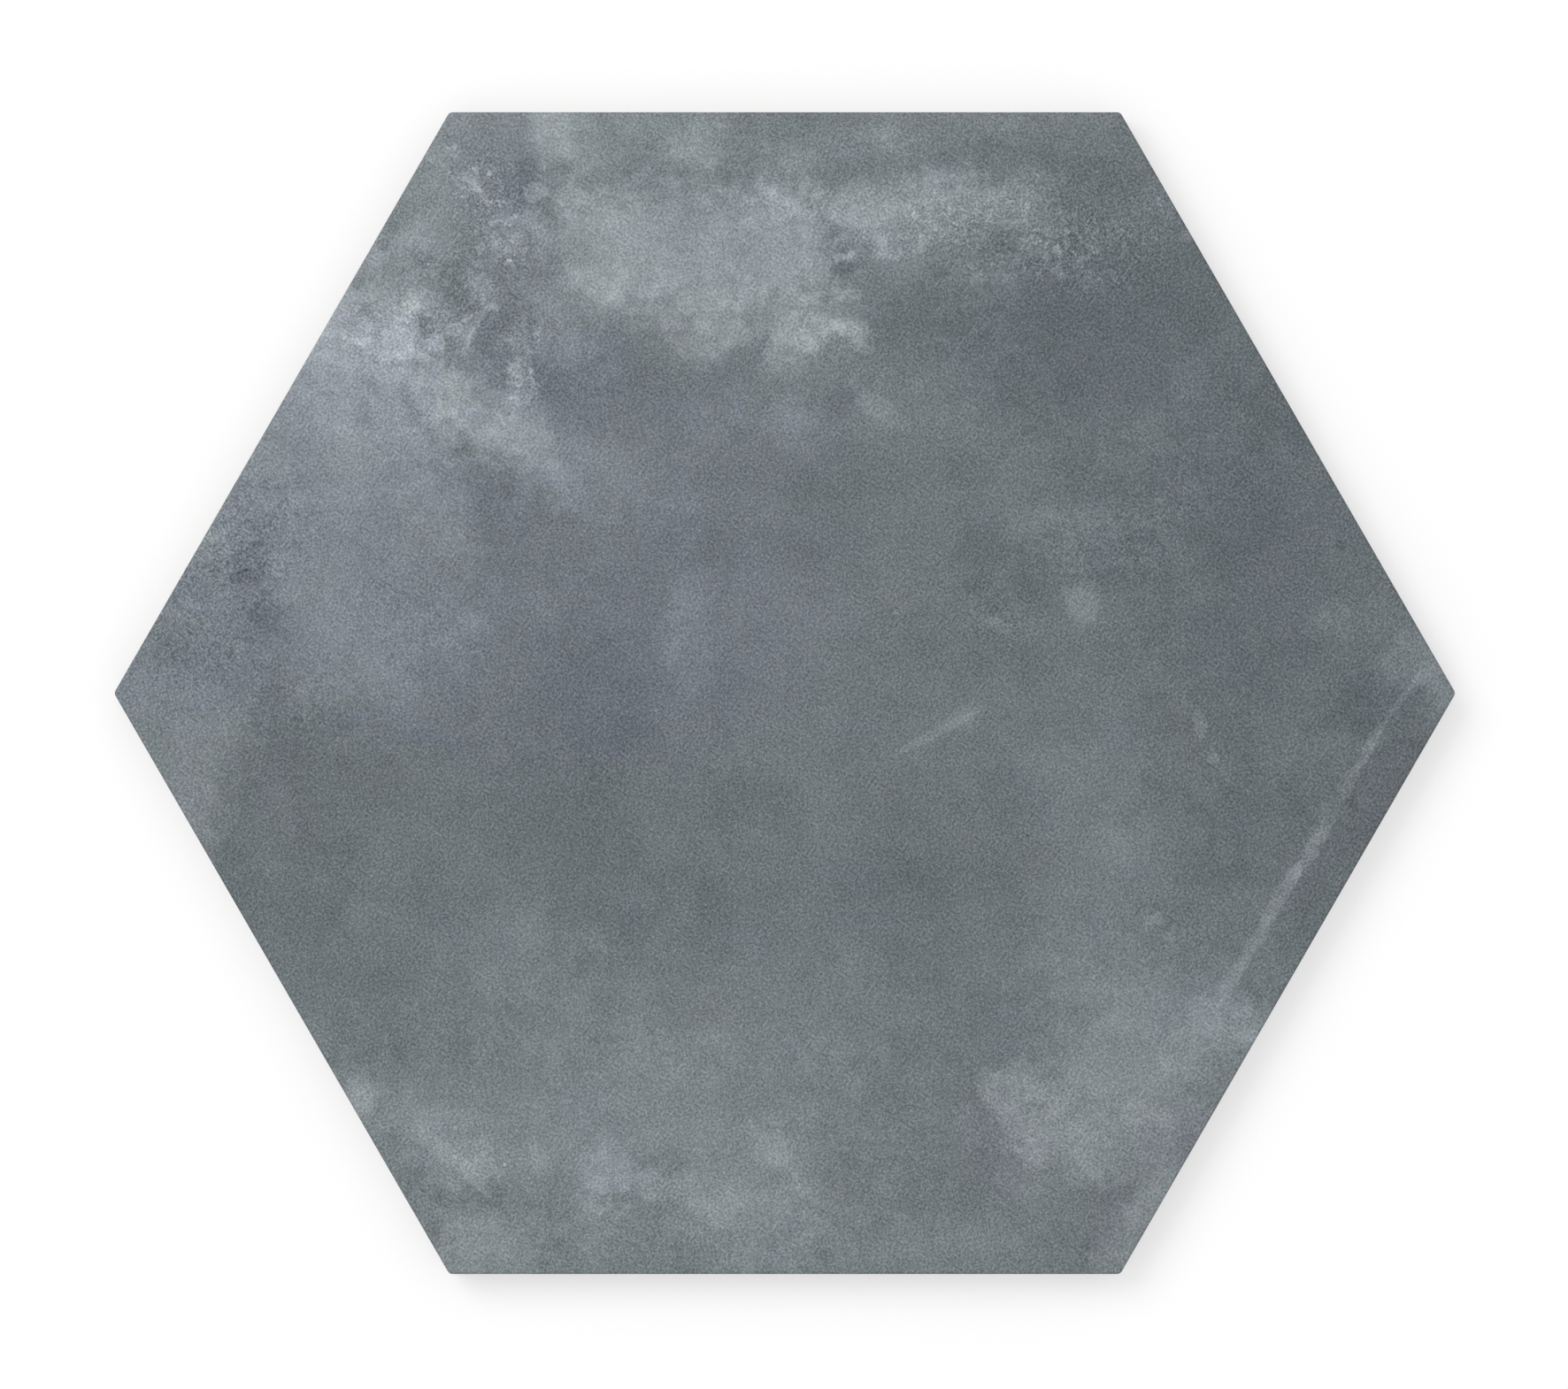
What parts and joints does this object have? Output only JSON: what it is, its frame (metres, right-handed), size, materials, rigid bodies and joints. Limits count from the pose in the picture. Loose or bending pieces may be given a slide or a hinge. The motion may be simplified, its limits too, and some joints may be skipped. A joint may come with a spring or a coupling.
{
  "type": "hexagon floor tile",
  "caption": "Regular hexagon floor tile in cement-look matt porcelain, with a flat mottled grey face, fine arris and a back of shallow honeycomb cells for the adhesive.",
  "frame": {"origin": "centre of the tile in plan, in the plane of its back ribs", "axes": "+X from corner to corner, +Y from flat to flat, +Z out of the face, so the tile lies face up"},
  "size_m": [0.2882, 0.25, 0.009],
  "materials": {
    "porcelain": "matte"
  },
  "bodies": {
    "root": {"hexagon_tile": "porcelain"}
  },
  "joints": []
}
